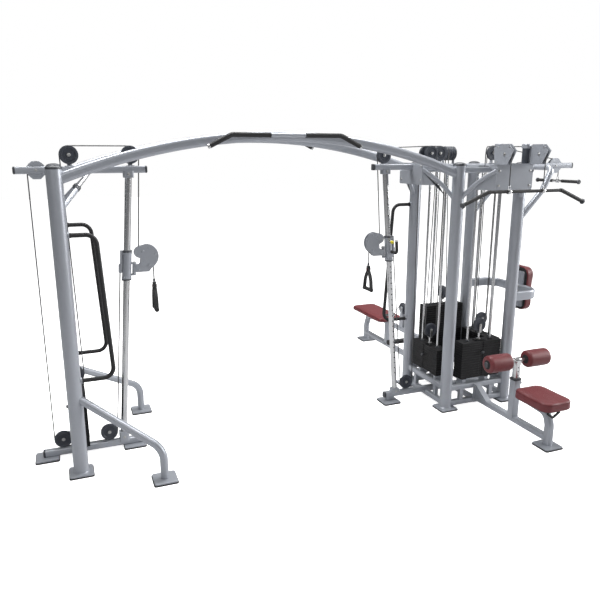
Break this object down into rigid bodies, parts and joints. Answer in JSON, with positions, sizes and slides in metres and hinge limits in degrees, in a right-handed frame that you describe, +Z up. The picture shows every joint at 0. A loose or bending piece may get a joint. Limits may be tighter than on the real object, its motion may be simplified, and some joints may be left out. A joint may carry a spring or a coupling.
{
  "type": "multi station cable gym",
  "caption": "Free-standing multi station cable gym: core tower with weight stacks, pulldown seat, row bench and back bolster, joined by arched tubes to an end cable tower.",
  "frame": {"origin": "on the floor, in the middle of the object's footprint", "axes": "+X along the arch from the end tower to the core tower, +Y from the pulldown seat to the row bench, +Z up"},
  "size_m": [5.18, 3.42, 2.516],
  "materials": {
    "frame_paint": "satin",
    "chrome": "polished",
    "black_grip": "matte",
    "pulley_plastic": "matte",
    "stack_iron": "matte",
    "upholstery": "satin",
    "cable_black": "satin",
    "pin_yellow": "gloss"
  },
  "bodies": {
    "frame": {"core_post_front_left": "frame_paint", "core_post_front_right": "frame_paint", "core_post_rear_left": "frame_paint", "core_post_rear_right": "frame_paint", "end_post_front": "frame_paint", "arch_tube_front": "frame_paint", "end_leg_front": "frame_paint", "pull_up_bar_front": "black_grip", "end_grab_rail_front": "black_grip", "end_post_rear": "frame_paint", "arch_tube_rear": "frame_paint", "end_leg_rear": "frame_paint", "pull_up_bar_rear": "black_grip", "end_grab_rail_rear": "black_grip", "core_grab_rail": "black_grip", "core_base_frame": "frame_paint", "core_top_frame": "frame_paint", "end_base_beam": "frame_paint", "end_top_beam": "frame_paint", "lat_seat_frame": "frame_paint", "row_bench_frame": "frame_paint", "back_support_hoop": "frame_paint", "end_cable_column": "chrome", "core_cable_column": "chrome", "lat_seat_pad": "upholstery", "row_bench_pad": "upholstery", "back_support_pad": "upholstery", "lat_weight_stack": "stack_iron", "column_weight_stack": "stack_iron", "row_weight_stack": "stack_iron", "triceps_weight_stack": "stack_iron", "end_weight_stack": "stack_iron", "end_cable": "cable_black", "column_cable": "cable_black", "triceps_cable": "cable_black", "row_cable": "cable_black", "lat_cable": "cable_black"},
    "lat_lift": {"lat_lift_head": "stack_iron"},
    "column_lift": {"column_lift_head": "stack_iron"},
    "row_lift": {"row_lift_head": "stack_iron"},
    "triceps_lift": {"triceps_lift_head": "stack_iron"},
    "end_lift": {"end_lift_head": "stack_iron"},
    "end_carriage_body": {"end_carriage": "frame_paint"},
    "end_pin_body": {"end_pop_pin": "pin_yellow"},
    "end_arm_body": {"end_swivel_arm": "frame_paint"},
    "end_handle_body": {"end_handle": "black_grip"},
    "core_carriage_body": {"core_carriage": "frame_paint"},
    "core_pin_body": {"core_pop_pin": "pin_yellow"},
    "core_arm_body": {"core_swivel_arm": "frame_paint"},
    "core_handle_body": {"core_handle": "black_grip"},
    "end_top_pulley_outer_body": {"end_top_pulley_outer": "pulley_plastic"},
    "end_top_pulley_inner_body": {"end_top_pulley_inner": "pulley_plastic"},
    "end_low_pulley_outer_body": {"end_low_pulley_outer": "pulley_plastic"},
    "end_low_pulley_inner_body": {"end_low_pulley_inner": "pulley_plastic"},
    "thigh_post_body": {"thigh_post": "chrome"},
    "thigh_roller_left_body": {"thigh_roller_left": "upholstery"},
    "thigh_roller_right_body": {"thigh_roller_right": "upholstery"},
    "lat_bar_body": {"lat_bar": "black_grip"},
    "row_handle_body": {"row_handle": "black_grip"},
    "triceps_bar_body": {"triceps_bar": "black_grip"}
  },
  "joints": [
    {"name": "end_carriage_slide", "type": "slide", "parent": "frame", "child": "end_carriage_body", "axis": [0.0807, 0, 0.9967], "range_m": [-0.95, 0.5]},
    {"name": "end_arm_swivel", "type": "hinge", "parent": "end_carriage_body", "child": "end_arm_body", "pos_m": [-1.7406, -0.31, 1.5], "axis": [0.0807, 0, 0.9967], "range_deg": [-80, 80]},
    {"name": "end_handle_pull", "type": "slide", "parent": "end_arm_body", "child": "end_handle_body", "axis": [0, 0, -1], "range_m": [0, 0.9]},
    {"name": "end_pin_pull", "type": "slide", "parent": "end_carriage_body", "child": "end_pin_body", "axis": [0, 1, 0], "range_m": [0, 0.012], "stiffness_N_per_m": 800, "springref_m": -0.005},
    {"name": "core_carriage_slide", "type": "slide", "parent": "frame", "child": "core_carriage_body", "axis": [-0.0854, 0, 0.9963], "range_m": [-0.95, 0.5]},
    {"name": "core_arm_swivel", "type": "hinge", "parent": "core_carriage_body", "child": "core_arm_body", "pos_m": [0.46402, -0.31, 1.5], "axis": [-0.0854, 0, 0.9963], "range_deg": [-80, 80]},
    {"name": "core_handle_pull", "type": "slide", "parent": "core_arm_body", "child": "core_handle_body", "axis": [0, 0, -1], "range_m": [0, 0.9]},
    {"name": "core_pin_pull", "type": "slide", "parent": "core_carriage_body", "child": "core_pin_body", "axis": [0, -1, 0], "range_m": [0, 0.012], "stiffness_N_per_m": 800, "springref_m": -0.005},
    {"name": "lat_stack_lift", "type": "slide", "parent": "frame", "child": "lat_lift", "axis": [0, 0, 1], "range_m": [0, 0.5], "deforming": ["lat_cable"]},
    {"name": "column_stack_lift", "type": "slide", "parent": "frame", "child": "column_lift", "axis": [0, 0, 1], "range_m": [0, 0.45], "deforming": ["column_cable"]},
    {"name": "row_stack_lift", "type": "slide", "parent": "frame", "child": "row_lift", "axis": [0, 0, 1], "range_m": [0, 0.4], "deforming": ["row_cable"]},
    {"name": "triceps_stack_lift", "type": "slide", "parent": "frame", "child": "triceps_lift", "axis": [0, 0, 1], "range_m": [0, 0.45], "deforming": ["triceps_cable"]},
    {"name": "end_stack_lift", "type": "slide", "parent": "frame", "child": "end_lift", "axis": [0, 0, 1], "range_m": [0, 0.45], "deforming": ["end_cable"]},
    {"name": "lat_bar_pull", "type": "slide", "parent": "frame", "child": "lat_bar_body", "axis": [0, 0, -1], "range_m": [0, 1]},
    {"name": "row_handle_pull", "type": "slide", "parent": "frame", "child": "row_handle_body", "axis": [0, 1, 0], "range_m": [0, 0.8]},
    {"name": "triceps_bar_pull", "type": "slide", "parent": "frame", "child": "triceps_bar_body", "axis": [0, 0, -1], "range_m": [0, 0.9]},
    {"name": "thigh_post_slide", "type": "slide", "parent": "frame", "child": "thigh_post_body", "axis": [0, 0, 1], "range_m": [0, 0.08]},
    {"name": "thigh_roller_left_spin", "type": "hinge", "parent": "thigh_post_body", "child": "thigh_roller_left_body", "pos_m": [1.1275, -1.18, 0.61], "axis": [1, 0, 0], "continuous": true},
    {"name": "thigh_roller_right_spin", "type": "hinge", "parent": "thigh_post_body", "child": "thigh_roller_right_body", "pos_m": [1.5325, -1.18, 0.61], "axis": [1, 0, 0], "continuous": true},
    {"name": "end_top_pulley_outer_spin", "type": "hinge", "parent": "frame", "child": "end_top_pulley_outer_body", "pos_m": [-2.15, -0.31, 2.342], "axis": [0, 1, 0], "continuous": true},
    {"name": "end_top_pulley_inner_spin", "type": "hinge", "parent": "frame", "child": "end_top_pulley_inner_body", "pos_m": [-1.72, -0.31, 2.342], "axis": [0, 1, 0], "continuous": true},
    {"name": "end_low_pulley_outer_spin", "type": "hinge", "parent": "frame", "child": "end_low_pulley_outer_body", "pos_m": [-2.372, -0.31, 0.145], "axis": [0, 1, 0], "continuous": true},
    {"name": "end_low_pulley_inner_spin", "type": "hinge", "parent": "frame", "child": "end_low_pulley_inner_body", "pos_m": [-2.022, -0.31, 0.145], "axis": [0, 1, 0], "continuous": true}
  ],
  "couplings": [
    {"joint": "end_handle_pull", "follows": "end_stack_lift", "ratio": 2},
    {"joint": "core_handle_pull", "follows": "column_stack_lift", "ratio": 2},
    {"joint": "lat_bar_pull", "follows": "lat_stack_lift", "ratio": 2},
    {"joint": "row_handle_pull", "follows": "row_stack_lift", "ratio": 2},
    {"joint": "triceps_bar_pull", "follows": "triceps_stack_lift", "ratio": 2},
    {"joint": "end_top_pulley_outer_spin", "follows": "end_stack_lift", "rad_per_m": 31.25},
    {"joint": "end_top_pulley_inner_spin", "follows": "end_stack_lift", "rad_per_m": 31.25},
    {"joint": "end_low_pulley_outer_spin", "follows": "end_carriage_slide", "rad_per_m": -15.625},
    {"joint": "end_low_pulley_inner_spin", "follows": "end_carriage_slide", "rad_per_m": -15.625}
  ]
}
